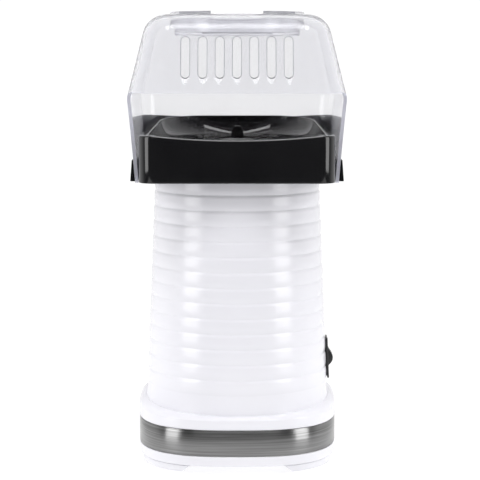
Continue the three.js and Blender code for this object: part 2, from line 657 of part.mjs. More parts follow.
// ---------- fan and motor ----------
function addFan() {
  const blades = Array.from({ length: FAN.blades }, (_, i) =>
    new THREE.BoxGeometry(FAN.radius - FAN.hub + 2, 0.9, FAN.height)
      .translate((FAN.radius + FAN.hub - 2) / 2, 0, 0).rotateX(degrees(38))
      .translate(0, 0, FAN.z + FAN.height / 2).rotateZ((i / FAN.blades) * 2 * Math.PI));
  const hub = turned([[FAN.shaft + 0.3, FAN.z], [FAN.hub, FAN.z], [FAN.hub, FAN.z + FAN.height],
    [FAN.shaft + 0.3, FAN.z + FAN.height]], 20);
  const trim = ringSolid(FAN.radius - 1, FAN.radius + 20, FAN.z - 10, FAN.z + 30);
  piece('fan_impeller', cut(join(hub, ...blades), trim, disc(FAN.shaft + 0.3, 0, 90, 12)), BLACK);
  piece('fan_shaft', disc(FAN.shaft, FAN.z - 2, MOTOR.top + 3, 12), STEEL);
}

function addMotor() {
  const { bottom, top, radius, wall, plateZ } = MOTOR;
  const seat = FAN.shaft + 2.2;
  piece('motor_can', turned([
    [seat + 0.3, bottom], [radius, bottom], [radius, top - 4.3], [radius - wall, top - 4.3],
    [radius - wall, bottom + wall], [seat + 0.3, bottom + wall],
  ], 28), STEEL);
  piece('motor_end_bell', turned([
    [seat + 0.3, top - 4], [radius, top - 4], [radius, top - 1],
    [7, top - 1], [6, top + 1], [seat + 0.3, top + 1],
  ], 28), GREY_PLASTIC);
  piece('motor_bush_1', ringSolid(FAN.shaft + 0.06, seat, bottom - 1.4, bottom + 2, 20), BRASS);
  piece('motor_bush_2', ringSolid(FAN.shaft + 0.06, seat, top - 3, top + 1, 20), BRASS);
  piece('motor_rotor', ringSolid(FAN.shaft + 0.3, 9.6, bottom + 4, top - 8, 20), NICHROME);
  [0, 1].forEach((i) => {
    const magnet = ringSolid(10.2, radius - wall - 0.3, bottom + 3.5, top - 7.5, 28);
    const side = i ? block(-20, 20, -20, 2.5, 0, 200) : block(-20, 20, -2.5, 20, 0, 200);
    piece(`motor_magnet_${i + 1}`, cut(magnet, side), GREY_PLASTIC);
  });
  const spokes = [0, 90, 180, 270].map((a) =>
    block(17, DUCT.inner - 0.5, -4, 4, plateZ, plateZ + 2).rotateZ(degrees(a)));
  const plate = join(ringSolid(seat + 1.8, 18, plateZ, plateZ + 2, 28), ...spokes);
  const screwHoles = [-1, 1].map((s) => disc(1.5, plateZ - 1, plateZ + 3, 10).translate(s * 10, 0, 0));
  piece('motor_plate', cut(plate, ...screwHoles), STEEL);
  [-1, 1].forEach((s, i) => {
    const head = plateZ - GAP;
    piece(`motor_screw_${i + 1}`, turned([[0, head - 1.4], [2.4, head - 1.4], [2.4, head], [1.2, head],
      [1.2, bottom - GAP], [0, bottom - GAP]], 12).translate(s * 10, 0, 0), STEEL);
  });
  const d = DUCT;
  const duct = ringSolid(d.inner, d.inner + d.wall, d.bottom, d.top, 28);
  const lugs = [45, 135, 225, 315].map((a) =>
    block(d.inner + 0.5, d.inner + 9, -4, 4, d.bottom, d.bottom + 3).rotateZ(degrees(a)));
  piece('fan_duct', join(duct, ...lugs), GREY_PLASTIC);
}

// ---------- wiring ----------
/** Insulated lead along a smooth curve through [x, y, z] points. */
function lead(name, points) {
  const path = new THREE.CatmullRomCurve3(points.map((p) => new THREE.Vector3(...p)));
  const section = new THREE.Shape();
  section.absarc(0, 0, 1.1, 0, 2 * Math.PI, false);
  piece(name, new THREE.ExtrudeGeometry(section, {
    steps: 14, extrudePath: path, curveSegments: 3, bevelEnabled: false,
  }), LEAD_INSULATION);
}

function addWiring() {
  const { bore, neck, collar } = GLAND;
  const wallY = towerRadius(GLAND.z - collar);
  const gland = turned([
    [bore, -12], [neck, -12], [neck, GAP], [collar, GAP], [collar, 2.2], [collar - 1.3, 3.2], [bore, 3.2],
  ], 20).rotateX(-Math.PI / 2).translate(0, wallY, GLAND.z);
  piece('cord_gland', gland, BLACK);
  piece('rectifier_board', block(-12, 12, -46.4, -44.8, 60, 82), BOARD);
  lead('lead_1', [[3, 47, 54], [22, 43, 50], [44, 20, 54], [47, 9, 72]]);
  lead('lead_2', [[-3, 47, 54], [-24, 42, 56], [-45, 12, 64], [-48, -6, 110], [-48, -6, 141]]);
}

addTower();
addBase();
addTray();
addHood();
addCup();
addSwitch();
addChamber();
addHeater();
addFan();
addMotor();
addWiring();

export default machine;
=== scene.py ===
"""Hot-air popcorn maker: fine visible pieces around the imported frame, in metres."""

import math

import bmesh
import bpy
from mathutils import Matrix, Vector


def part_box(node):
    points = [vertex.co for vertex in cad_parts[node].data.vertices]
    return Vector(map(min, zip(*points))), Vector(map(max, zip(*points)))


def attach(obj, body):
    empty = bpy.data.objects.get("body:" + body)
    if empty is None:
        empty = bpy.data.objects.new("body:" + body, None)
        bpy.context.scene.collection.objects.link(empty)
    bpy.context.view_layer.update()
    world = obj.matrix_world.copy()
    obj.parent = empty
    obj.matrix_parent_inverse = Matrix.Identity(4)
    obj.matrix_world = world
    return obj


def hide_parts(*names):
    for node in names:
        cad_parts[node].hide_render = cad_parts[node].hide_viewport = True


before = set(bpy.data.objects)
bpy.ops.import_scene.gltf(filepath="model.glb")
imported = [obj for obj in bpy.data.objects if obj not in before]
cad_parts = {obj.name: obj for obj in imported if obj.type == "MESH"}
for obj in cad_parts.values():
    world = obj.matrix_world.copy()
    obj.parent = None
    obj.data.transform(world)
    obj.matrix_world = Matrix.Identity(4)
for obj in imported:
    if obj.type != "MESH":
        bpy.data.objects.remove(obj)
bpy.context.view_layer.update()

# ---------- driving dimensions, in millimetres from the tower's axis ----------
MM = 0.001
CHAMBER_LOW, CHAMBER_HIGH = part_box("popping_chamber")
AXIS_Y = (CHAMBER_LOW.y + CHAMBER_HIGH.y) / 2 / MM
HOUSING_BOTTOM, TOWER_TOP = 5.6, 190.8
HOOD_BOTTOM, HOOD_TOP = 188.0, 295.5
GAP = 0.3

BASE_HALF, BASE_FRONT, BASE_BACK = 66.1, 66.0, 69.0
FRONT_POWER, BACK_POWER = 2.7, 3.4
BAND_LOW, BAND_HIGH, BAND_THICK, BAND_RECESS = 12.3, 29.4, 0.5, 0.9
EDGE_Z, MEET_Z, LEDGE_RISE = 35.3, 37.9, 0.035
TOWER_RADIUS, TOWER_TAPER, TOWER_WALL = 54.9, 0.0425, 2.2
TOP_CREASE, RIB_PITCH, RIB_DEPTH = 180.0, 9.97, 0.6
RIB_FOOT, RIB_HEAD = 0.5, 0.78  # shares of a rib's height where its foot ends and its head starts
FLANGE_INNER, FLANGE_LOW, FLANGE_HIGH = 43.5, 184.2, 186.7

FOOT_INSET, FOOT_LOW, FOOT_HIGH, FOOT_GAP_TOP, FOOT_GAP_LOW = 0.6, 0.8, 5.3, 31.5, 37.0
FLOOR_INSET, FLOOR_HIGH = 2.6, 8.2
PAD_RADIUS, PAD_HEIGHT, PAD_X, PAD_FRONT, PAD_BACK = 6.0, 3.0, 44.0, -43.0, 48.0
SCREW_X, SCREW_FRONT, SCREW_BACK = 37.0, -31.0, 36.0
SCREW_HEAD, SCREW_BORE, THREAD_BORE = 3.6, 1.9, 1.8
INTAKE_RADIUS, INTAKE_PITCH, INTAKE_SIDE, INTAKE_HALF = 32.0, 7.0, 4, 1.8

TRAY_HALF, TRAY_FRONT, TRAY_BACK, TRAY_CORNER = 62.6, -66.0, 61.8, 11.0
TRAY_LOW, TRAY_FLOOR, SHELF_HEIGHT = 188.6, 191.3, 218.8
RIM_FRONT, RIM_BACK, RIM_DIP = 219.0, 227.0, 3.2
BOWL_HALF, BOWL_FRONT, BOWL_BACK, BOWL_NARROWING = 56.2, -61.5, 54.0, 0.1
BOWL_CORNER_FRONT, BOWL_CORNER_BACK = 7.0, 31.0
HOLE_RADIUS, HOLE_EDGE, HOLE_LOW = 37.5, 211.2, 205.3
CHEEK_INNER, CHEEK_OUTER, CHEEK_TOP_OUTER, CHEEK_TOP, CHEEK_START = 66.6, 68.8, 67.8, 202.6, -45.0
CHEEK_BACK_SHIFT, CHEEK_RAISED, CHEEK_DROOP, CHEEK_RISE = -1.4, 227.4, 3.2, (15.0, 58.0)
CHEEK_SPREAD_X, CHEEK_SPREAD_Y = 0.00133, 0.00074  # the raised wall's growth for each millimetre of rise
TRAY_SCREW_RADIUS, TRAY_BOSS, TRAY_SCREW_ANGLES = 49.4, 3.1, (30, 150, 270)
ARCH_HALF, ARCH_TOP, ARCH_FRONT, ARCH_BACK = 4.3, 216.6, 40.5, 52.0

HOOD_WALL, HOOD_ROUND, HOOD_WIDEST = 2.2, 15.0, 242.0
HOOD_HALF, HOOD_FRONT, HOOD_BACK, HOOD_CORNER = 69.9, -74.0, 66.5, 18.0
SIDE_SLOPE, FRONT_SLOPE, BACK_SLOPE = 0.235, 0.34, 0.2
SKIRT_HALF, SKIRT_BACK, OVER_CHANNEL, TAB_END = 65.2, 64.4, 191.6, -45.9
MOUTH_EDGE, MOUTH_TOP_Y, MOUTH_LOW_Y, MOUTH_ROUND = 245.7, -57.0, -50.0, 4.0
SLOT_COUNT, SLOT_PITCH, SLOT_WIDTH, SLOT_LOW, SLOT_HIGH = 7, 10.8, 5.3, 255.2, 280.8
# The second value is the height of the painted shade at the foot of each slot.
SLOT_FLARE, SLOT_FOOT_SHADE_HEIGHT = 0.5, 0.7
COLLAR_OUTER, COLLAR_WALL, LIP_INNER, LIP_LOW, LIP_HIGH = 45.1, 1.3, 42.4, 286.6, 287.9

CUP_BAND, CUP_BODY, CUP_WALL, CUP_LOW, CUP_STEP = 43.1, 41.7, 1.5, 281.6, 288.2
# The third value is how far across the grips' outer faces carry painted shade.
GRIP_TOP, GRIP_OUTER, GRIP_SHADE_REACH, FINGER_GAP = 297.5, 44.6, 38.0, 33.6
CUP_RIBS, CUP_RIB_HALF = 8, 0.9

SWITCH_Z, SWITCH_HEIGHT, SWITCH_WIDTH, SWITCH_PROUD, SWITCH_DEPTH = 65.6, 27.6, 13.4, 1.5, 12.0
ROCKER_HALF, ROCKER_WIDTH, ROCKER_TILT, ROCKER_CROWN = 11.1, 9.2, 7.0, 3.2
GLAND_Z, GLAND_HOLE, GLAND_NECK, GLAND_COLLAR, GLAND_BORE = 54.0, 5.2, 4.9, 7.5, 2.4

POT_INNER, POT_WALL, LOUVRES, LOUVRE_HALF, LOUVRE_LEAN = 36.0, 1.0, 12, 1.1, 20

ROUND_STEPS = 240
CORNER_STEPS = 14
SIDE_STEPS = 24
LEDGE_STEPS = 14
RIB_STEPS = 20
BOWL_STEPS = 14


# ---------- mesh helpers ----------
def lerp(a, b, t):
    return a + (b - a) * t


def clamp01(value):
    return min(1.0, max(0.0, value))


def polar(radius, angle, z):
    return (radius * math.cos(angle), radius * math.sin(angle), z)


def make_object(name, vertices, faces):
    """Object from points in millimetres about the tower's axis."""
    mesh = bpy.data.meshes.new(name)
    placed = [(x * MM, (y + AXIS_Y) * MM, z * MM) for x, y, z in vertices]
    mesh.from_pydata(placed, [], faces)
    tidy = bmesh.new()
    tidy.from_mesh(mesh)
    bmesh.ops.remove_doubles(tidy, verts=tidy.verts, dist=1e-6)
    bmesh.ops.recalc_face_normals(tidy, faces=tidy.faces)
    tidy.to_mesh(mesh)
    tidy.free()
    made = bpy.data.objects.new(name, mesh)
    bpy.context.scene.collection.objects.link(made)
    return made


def skin(name, rings, loop=True):
    """Quads between equal rings; a loop joins the last ring to the first, else the ends are capped."""
    count = len(rings[0])
    vertices = [tuple(point) for ring in rings for point in ring]
    faces = []
    last = len(rings) if loop else len(rings) - 1
    for j in range(last):
        low, high = j * count, (j + 1) % len(rings) * count
        for i in range(count):
            n = (i + 1) % count
            faces.append((low + i, low + n, high + n, high + i))
    if not loop:
        faces.append(tuple(range(count))[::-1])
        faces.append(tuple((len(rings) - 1) * count + i for i in range(count)))
    return make_object(name, vertices, faces)


def turned(name, profile, steps=96):
    """Solid of revolution from (radius, z) points; ends that lie on the axis become flat faces."""
    meets_axis = profile[0][0] == 0 and profile[-1][0] == 0
    kept = profile[1:-1] if meets_axis else profile
    rings = [[polar(r, 2 * math.pi * i / steps, z) for i in range(steps)] for r, z in kept]
    return skin(name, rings, loop=not meets_axis)


def rod(name, radius, low, high, steps=24):
    """Solid cylinder on the tower's axis."""
    return turned(name, [(0, low), (radius, low), (radius, high), (0, high)], steps)


def prism(name, outline, axis, low, high):
    """Prism of (u, v) points: u and v are Y and Z along 'x', or X and Z along 'y'."""
    def place(u, v, w):
        return (w, u, v) if axis == "x" else (u, w, v)

    rings = [[place(u, v, w) for u, v in outline] for w in (low, high)]
    return skin(name, rings, loop=False)


def block(name, x, y, z):
    """Box between pairs of limits."""
    return prism(name, [(x[0], z[0]), (x[1], z[0]), (x[1], z[1]), (x[0], z[1])], "y", *y)


def arc(cx, cy, radius, start, end, steps):
    """Points on an arc, in degrees."""
    angles = [math.radians(lerp(start, end, i / steps)) for i in range(steps + 1)]
    return [(cx + radius * math.cos(a), cy + radius * math.sin(a)) for a in angles]


def moved(obj, x=0.0, y=0.0, z=0.0):
    obj.data.transform(Matrix.Translation((x * MM, y * MM, z * MM)))
    return obj


def turn_about(obj, angle, axis, point):
    """Rotates the mesh by degrees about an axis through a point given in millimetres."""
    centre = Vector((point[0] * MM, (point[1] + AXIS_Y) * MM, point[2] * MM))
    spin = Matrix.Rotation(math.radians(angle), 4, axis)
    obj.data.transform(Matrix.Translation(centre) @ spin @ Matrix.Translation(-centre))
    return obj


def apply_modifiers(obj):
    depsgraph = bpy.context.evaluated_depsgraph_get()
    baked = bpy.data.meshes.new_from_object(obj.evaluated_get(depsgraph))
    obj.modifiers.clear()
    obj.data = baked
    return obj


def combine(obj, tools, operation):
    """Applies one exact boolean for each tool and removes the tools."""
    for tool in tools:
        modifier = obj.modifiers.new("combine", "BOOLEAN")
        modifier.operation = operation
        modifier.solver = "EXACT"
        modifier.material_mode = "TRANSFER"
        modifier.object = tool
        bpy.context.view_layer.update()
        apply_modifiers(obj)
        bpy.data.objects.remove(tool)
    return obj


def cut(obj, *tools):
    return combine(obj, tools, "DIFFERENCE")


def join(obj, *tools):
    return combine(obj, tools, "UNION")


def bevel(obj, width, angle=35, segments=3):
    modifier = obj.modifiers.new("bevel", "BEVEL")
    modifier.width = width * MM
    modifier.segments = segments
    modifier.limit_method = "ANGLE"
    modifier.angle_limit = math.radians(angle)
    bpy.context.view_layer.update()
    return apply_modifiers(obj)


def paint(obj, material, wanted):
    """Gives another material to the faces whose centre, in millimetres, is wanted."""
    obj.data.materials.append(material)
    for face in obj.data.polygons:
        x, y, z = face.center / MM
        if wanted(x, y - AXIS_Y, z):
            face.material_index = len(obj.data.materials) - 1


def finish_piece(obj, material, slot, body, *nodes, sharp=32):
    obj.data.shade_smooth()
    obj.data.set_sharp_from_angle(angle=math.radians(sharp))
    if material not in list(obj.data.materials):
        obj.data.materials.clear()
        obj.data.materials.append(material)
    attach(obj, body)
    if nodes:
        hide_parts(*nodes)
    return obj


# ---------- materials ----------
PLASTIC_IOR, CLEAR_IOR = 1.5, 1.36


def new_material(name):
    material = bpy.data.materials.new(name)
    material.use_nodes = True
    tree = material.node_tree
    return material, tree, tree.nodes["Principled BSDF"]


def object_coordinates(tree, scale=(1, 1, 1)):
    coordinates = tree.nodes.new("ShaderNodeTexCoord")
    mapping = tree.nodes.new("ShaderNodeMapping")
    mapping.inputs["Scale"].default_value = scale
    tree.links.new(coordinates.outputs["Object"], mapping.inputs["Vector"])
    return mapping.outputs["Vector"]


def noise(tree, vector, scale, detail=3.0):
    node = tree.nodes.new("ShaderNodeTexNoise")
    node.inputs["Scale"].default_value = scale
    node.inputs["Detail"].default_value = detail
    tree.links.new(vector, node.inputs["Vector"])
    return node.outputs["Fac"]


def ramp_number(tree, value, low, high):
    node = tree.nodes.new("ShaderNodeMapRange")
    node.inputs["To Min"].default_value = low
    node.inputs["To Max"].default_value = high
    tree.links.new(value, node.inputs["Value"])
    return node.outputs["Result"]


def ramp_colour(tree, value, dark, light, start=0.3, end=0.7):
    node = tree.nodes.new("ShaderNodeValToRGB")
    node.color_ramp.elements[0].color = (*dark, 1)
    node.color_ramp.elements[1].color = (*light, 1)
    node.color_ramp.elements[0].position = start
    node.color_ramp.elements[1].position = end
    tree.links.new(value, node.inputs["Fac"])
    return node.outputs["Color"]


def add_bump(tree, shader, height, strength, distance):
    node = tree.nodes.new("ShaderNodeBump")
    node.inputs["Strength"].default_value = strength
    node.inputs["Distance"].default_value = distance
    tree.links.new(height, node.inputs["Height"])
    tree.links.new(node.outputs["Normal"], shader.inputs["Normal"])


def moulded(name, dark, light, rough, bump, scale=90.0):
    """Moulded plastic or rubber: slow colour drift, uneven gloss and a faint skin texture."""
    material, tree, shader = new_material(name)
    vector = object_coordinates(tree)
    drift = noise(tree, vector, 14.0)
    grain = noise(tree, vector, scale * 10, 4.0)
    tree.links.new(ramp_colour(tree, drift, dark, light), shader.inputs["Base Color"])
    tree.links.new(ramp_number(tree, noise(tree, vector, scale), *rough), shader.inputs["Roughness"])
    add_bump(tree, shader, grain, bump, 0.0001)
    shader.inputs["IOR"].default_value = PLASTIC_IOR
    return material


def metal(name, dark, light, rough, stretch=(1, 1, 1), bump=0.05, brushed=0.0):
    """Bare metal with drawn or turned marks that run where stretch is small."""
    material, tree, shader = new_material(name)
    marks = noise(tree, object_coordinates(tree, stretch), 700.0, 5.0)
    tree.links.new(ramp_colour(tree, marks, dark, light), shader.inputs["Base Color"])
    tree.links.new(ramp_number(tree, marks, *rough), shader.inputs["Roughness"])
    add_bump(tree, shader, marks, bump, 0.00005)
    shader.inputs["Metallic"].default_value = 1.0
    if brushed:
        round_axis = tree.nodes.new("ShaderNodeTangent")
        round_axis.direction_type = "RADIAL"
        round_axis.axis = "Z"
        shader.inputs["Anisotropic"].default_value = brushed
        shader.inputs["Anisotropic Rotation"].default_value = 0.25
        tree.links.new(round_axis.outputs["Tangent"], shader.inputs["Tangent"])
    return material


def clear_plastic(name, tint, milk, milk_share, rough=(0.015, 0.05), painted_glow=0.0):
    """Clear moulding with faint flow ripples and a milky share that catches the light.

    The painted glow is an emission that stands in for the light a clear wall carries to its cut edges.
    """
    material, tree, shader = new_material(name)
    ripple = noise(tree, object_coordinates(tree, (1, 1, 0.35)), 40.0, 2.0)
    tree.links.new(ramp_number(tree, ripple, *rough), shader.inputs["Roughness"])
    add_bump(tree, shader, ripple, 0.06, 0.0004)
    shader.inputs["Base Color"].default_value = (*tint, 1)
    shader.inputs["IOR"].default_value = CLEAR_IOR
    shader.inputs["Transmission Weight"].default_value = 1.0
    # Painted glow: emission on a part that is no lamp, standing in for light at the cut edges.
    shader.inputs["Emission Color"].default_value = (0.9, 0.9, 1.0, 1)
    shader.inputs["Emission Strength"].default_value = painted_glow
    haze = tree.nodes.new("ShaderNodeBsdfTranslucent")
    haze.inputs["Color"].default_value = (*milk, 1)
    veil = tree.nodes.new("ShaderNodeBsdfDiffuse")
    veil.inputs["Color"].default_value = (*milk, 1)
    both = tree.nodes.new("ShaderNodeAddShader")
    tree.links.new(haze.outputs["BSDF"], both.inputs[0])
    tree.links.new(veil.outputs["BSDF"], both.inputs[1])
    mix = tree.nodes.new("ShaderNodeMixShader")
    tree.links.new(ramp_number(tree, ripple, 0.85 * milk_share, 1.15 * milk_share), mix.inputs["Fac"])
    tree.links.new(shader.outputs["BSDF"], mix.inputs[1])
    tree.links.new(both.outputs["Shader"], mix.inputs[2])
    tree.links.new(mix.outputs["Shader"], tree.nodes["Material Output"].inputs["Surface"])
    return material


WHITE = moulded("white_gloss_plastic", (0.84, 0.835, 0.885), (0.87, 0.865, 0.91), (0.16, 0.24), 0.03)
BLACK = moulded("black_gloss_plastic", (0.006, 0.006, 0.007), (0.012, 0.012, 0.013), (0.06, 0.12), 0.02)
SWITCH_BLACK = moulded("switch_black_plastic", (0.01, 0.01, 0.011), (0.02, 0.02, 0.021), (0.28, 0.4), 0.08)
CLEAR = clear_plastic("clear_plastic", (0.99, 0.99, 1.0), (0.6, 0.6, 0.65), 0.09)
# Painted light: a painted glow and a painted light grey on the cut faces of the hood's mouth.
MOUTH_PAINTED_LIGHT = clear_plastic("mouth_edge_painted_light", (0.95, 0.95, 0.975), (0.5, 0.5, 0.56), 0.6, (0.1, 0.2), 0.06)
# Painted shade: grey on the slots' cut faces and on the outer faces of the cup's grips.
EDGE_PAINTED_SHADE = clear_plastic("edge_painted_shade", (0.75, 0.75, 0.78), (0.22, 0.22, 0.24), 0.7, (0.1, 0.2))
# Painted shade: near-black at the foot of each slot.
FOOT_PAINTED_SHADE = clear_plastic("slot_foot_painted_shade", (0.25, 0.25, 0.26), (0.03, 0.03, 0.033), 0.9, (0.1, 0.2))
BRUSHED = metal("brushed_band_steel", (0.17, 0.17, 0.17), (0.3, 0.3, 0.3), (0.26, 0.31),
                (0.02, 0.02, 1.6), 0.06, 0.95)
RUBBER = moulded("pad_rubber", (0.02, 0.02, 0.02), (0.045, 0.045, 0.045), (0.7, 0.9), 0.3)
ALUMINIUM = metal("spun_aluminium", (0.62, 0.63, 0.64), (0.8, 0.81, 0.82), (0.25, 0.4), (0.1, 0.1, 1), 0.1)
STEEL = metal("plated_steel", (0.42, 0.43, 0.45), (0.58, 0.59, 0.6), (0.3, 0.42))
BRASS = metal("brass", (0.6, 0.45, 0.18), (0.74, 0.58, 0.28), (0.25, 0.4))
WIRE = metal("resistance_wire", (0.2, 0.19, 0.18), (0.32, 0.3, 0.28), (0.4, 0.55))
MICA = moulded("mica_sheet", (0.42, 0.35, 0.24), (0.62, 0.55, 0.42), (0.45, 0.65), 0.3)
SILICONE = moulded("red_silicone", (0.4, 0.06, 0.03), (0.5, 0.09, 0.05), (0.5, 0.65), 0.1)
GREY = moulded("grey_plastic", (0.13, 0.135, 0.14), (0.18, 0.185, 0.19), (0.4, 0.55), 0.15)
BOARD = moulded("circuit_board", (0.012, 0.12, 0.05), (0.02, 0.17, 0.07), (0.3, 0.45), 0.1)
BRAID = moulded("lead_braid", (0.55, 0.52, 0.43), (0.72, 0.69, 0.6), (0.6, 0.8), 0.5)


# ---------- base plan and tower ----------
def base_radius(angle, inset=0.0):
    """Distance from the axis to the base outline, squarer at the back than at the front."""
    c, s = abs(math.cos(angle)), abs(math.sin(angle))
    at_front = math.sin(angle) < 0
    power = FRONT_POWER if at_front else BACK_POWER
    depth = (BASE_FRONT if at_front else BASE_BACK) - inset
    return ((c / (BASE_HALF - inset)) ** power + (s / depth) ** power) ** (-1 / power)


def ring_around(radius_at, z_at):
    angles = [2 * math.pi * i / ROUND_STEPS for i in range(ROUND_STEPS)]
    return [polar(radius_at(a), a, z_at(a)) for a in angles]


def base_ring(inset, z):
    return ring_around(lambda a: base_radius(a, inset), lambda a: z)


def round_ring(radius, z):
    return ring_around(lambda a: radius, lambda a: z)


def tower_radius(z):
    return TOWER_RADIUS + (TOWER_TOP - z) * TOWER_TAPER


def ledge_rise(angle):
    return LEDGE_RISE * (BASE_FRONT + base_radius(angle) * math.sin(angle))


def ledge_ring(part, inset=0.0):
    across, up = 1 - math.cos(part * math.pi / 2), math.sin(part * math.pi / 2)
    return ring_around(
        lambda a: lerp(base_radius(a, inset), tower_radius(MEET_Z) - inset, across),
        lambda a: lerp(EDGE_Z, MEET_Z, up) - inset + ledge_rise(a))


def rib_inset(along):
    """Depth of a rib's face at a share of its height: a long rounded foot and a shorter head."""
    foot = clamp01(1 - along / RIB_FOOT)
    head = clamp01((along - RIB_HEAD) / (1 - RIB_HEAD))
    return RIB_DEPTH * max(foot, head) ** 2


def rib_rings():
    """Ribs parted by creases, from the ledge up to the tray, where the last one is cut short."""
    start = MEET_Z + LEDGE_RISE * (BASE_FRONT + BASE_BACK) + 1
    count = int((TOP_CREASE - start) // RIB_PITCH)
    rings = []
    for i in range(count * RIB_STEPS + RIB_STEPS // 2 + 1):
        z = TOP_CREASE - (count - i / RIB_STEPS) * RIB_PITCH
        rings.append(round_ring(tower_radius(z) - rib_inset((i % RIB_STEPS) / RIB_STEPS), z))
    return rings


def tray_screw_places():
    return [polar(TRAY_SCREW_RADIUS, math.radians(angle), 0) for angle in TRAY_SCREW_ANGLES]


def build_tower():
    bore = tower_radius(FLANGE_HIGH) - TOWER_WALL
    low_inner = tower_radius(MEET_Z) - TOWER_WALL - 0.55
    groove_low, groove_high, turn = BAND_LOW - GAP, BAND_HIGH + GAP, 0.2
    rings = [
        base_ring(TOWER_WALL, HOUSING_BOTTOM),
        base_ring(2 * turn, HOUSING_BOTTOM),
        base_ring(0, HOUSING_BOTTOM + 2 * turn),
        base_ring(0, groove_low - turn),
        base_ring(turn, groove_low),
        base_ring(BAND_RECESS, groove_low),
        base_ring(BAND_RECESS, groove_high),
        base_ring(turn, groove_high),
        base_ring(0, groove_high + turn),
        *[ledge_ring(i / LEDGE_STEPS) for i in range(LEDGE_STEPS + 1)],
        *rib_rings(),
        round_ring(tower_radius(TRAY_LOW), TRAY_LOW),
        round_ring(TOWER_RADIUS, TOWER_TOP),
        round_ring(TOWER_RADIUS - TOWER_WALL, TOWER_TOP),
        round_ring(bore, FLANGE_HIGH),
        round_ring(FLANGE_INNER, FLANGE_HIGH),
        round_ring(FLANGE_INNER, FLANGE_LOW),
        round_ring(bore, FLANGE_LOW),
        round_ring(low_inner, MEET_Z + 2),
        ledge_ring(0.75, TOWER_WALL),
        ledge_ring(0, TOWER_WALL),
        base_ring(TOWER_WALL, EDGE_Z - TOWER_WALL),
    ]
    body = skin("tower_shell", rings)
    reach, side = SWITCH_HEIGHT / 2 - 1, SWITCH_WIDTH / 2 - 1
    window = block("window", (50, 80), (-side, side), (SWITCH_Z - reach, SWITCH_Z + reach))
    hole = turn_about(rod("hole", GLAND_HOLE, -15, 15, 40), -90, "X", (0, 0, 0))
    moved(hole, 0, 66, GLAND_Z)
    screws = [moved(rod("bore", THREAD_BORE, 180, 190), *place) for place in tray_screw_places()]
    finish_piece(cut(body, window, hole, *screws), WHITE, "white_plastic", "root", "tower_housing", sharp=40)


def build_band():
    outside = BAND_RECESS - GAP - BAND_THICK
    inside = BAND_RECESS - GAP
    turn = 0.15
    band = skin("brushed_band", [
        base_ring(inside, BAND_LOW),
        base_ring(outside + turn, BAND_LOW),
        base_ring(outside, BAND_LOW + turn),
        base_ring(outside, BAND_HIGH - turn),
        base_ring(outside + turn, BAND_HIGH),
        base_ring(inside, BAND_HIGH),
    ])
    finish_piece(band, BRUSHED, "brushed_band", "root", "steel_band", sharp=50)


def corner_places(x, front, back):
    return [(-x, front), (x, front), (-x, back), (x, back)]


def build_base():
    turn = 0.2
    body = skin("base_floor", [
        base_ring(FOOT_INSET + 1.2, FOOT_LOW),
        base_ring(FOOT_INSET + 0.4, FOOT_LOW + 0.25),
        base_ring(FOOT_INSET, FOOT_LOW + 1),
        base_ring(FOOT_INSET, FOOT_HIGH - turn),
        base_ring(FOOT_INSET + turn, FOOT_HIGH),
        base_ring(FLOOR_INSET, FOOT_HIGH),
        base_ring(FLOOR_INSET, FLOOR_HIGH - 0.3),
        base_ring(FLOOR_INSET + 0.3, FLOOR_HIGH),
    ], loop=False)
    below, round_top = FOOT_LOW - 0.5, 1.5
    gap_side, gap_centre = FOOT_GAP_TOP - 1, FOOT_HIGH - round_top
    outline = [(-FOOT_GAP_LOW, below), (FOOT_GAP_LOW, below),
               *arc(gap_side, gap_centre, round_top, 20, 90, 5),
               *arc(-gap_side, gap_centre, round_top, 90, 160, 5)]
    tools = [prism("foot_gap", outline, axis, -90, 90) for axis in ("x", "y")]
    for i in range(-INTAKE_SIDE, INTAKE_SIDE + 1):
        x = i * INTAKE_PITCH
        reach = math.sqrt(INTAKE_RADIUS ** 2 - x ** 2)
        tools.append(block("intake", (x - INTAKE_HALF, x + INTAKE_HALF), (-reach, reach),
                           (FOOT_HIGH - 1, FLOOR_HIGH + 1)))
    for x, y in corner_places(PAD_X, PAD_FRONT, PAD_BACK):
        tools.append(moved(rod("pocket", PAD_RADIUS + GAP, 0, PAD_HEIGHT + GAP, 48), x, y))
    seat, above = FOOT_HIGH - 1.2, 12
    screw_hole = [(0, 0), (SCREW_HEAD, 0), (SCREW_HEAD, seat), (SCREW_BORE, seat), (SCREW_BORE, above),
                  (0, above)]
    for x, y in corner_places(SCREW_X, SCREW_FRONT, SCREW_BACK):
        tools.append(moved(turned("screw_hole", screw_hole, 32), x, y))
    finish_piece(cut(body, *tools), WHITE, "white_plastic", "root", "base_cover")
    for i, (x, y) in enumerate(corner_places(PAD_X, PAD_FRONT, PAD_BACK), 1):
        pad = rod("rubber_pad_%d" % i, PAD_RADIUS, 0, PAD_HEIGHT, 64)
        bevel(moved(pad, x, y), 0.6)
        finish_piece(pad, RUBBER, "rubber", "root", "foot_pad_%d" % i)


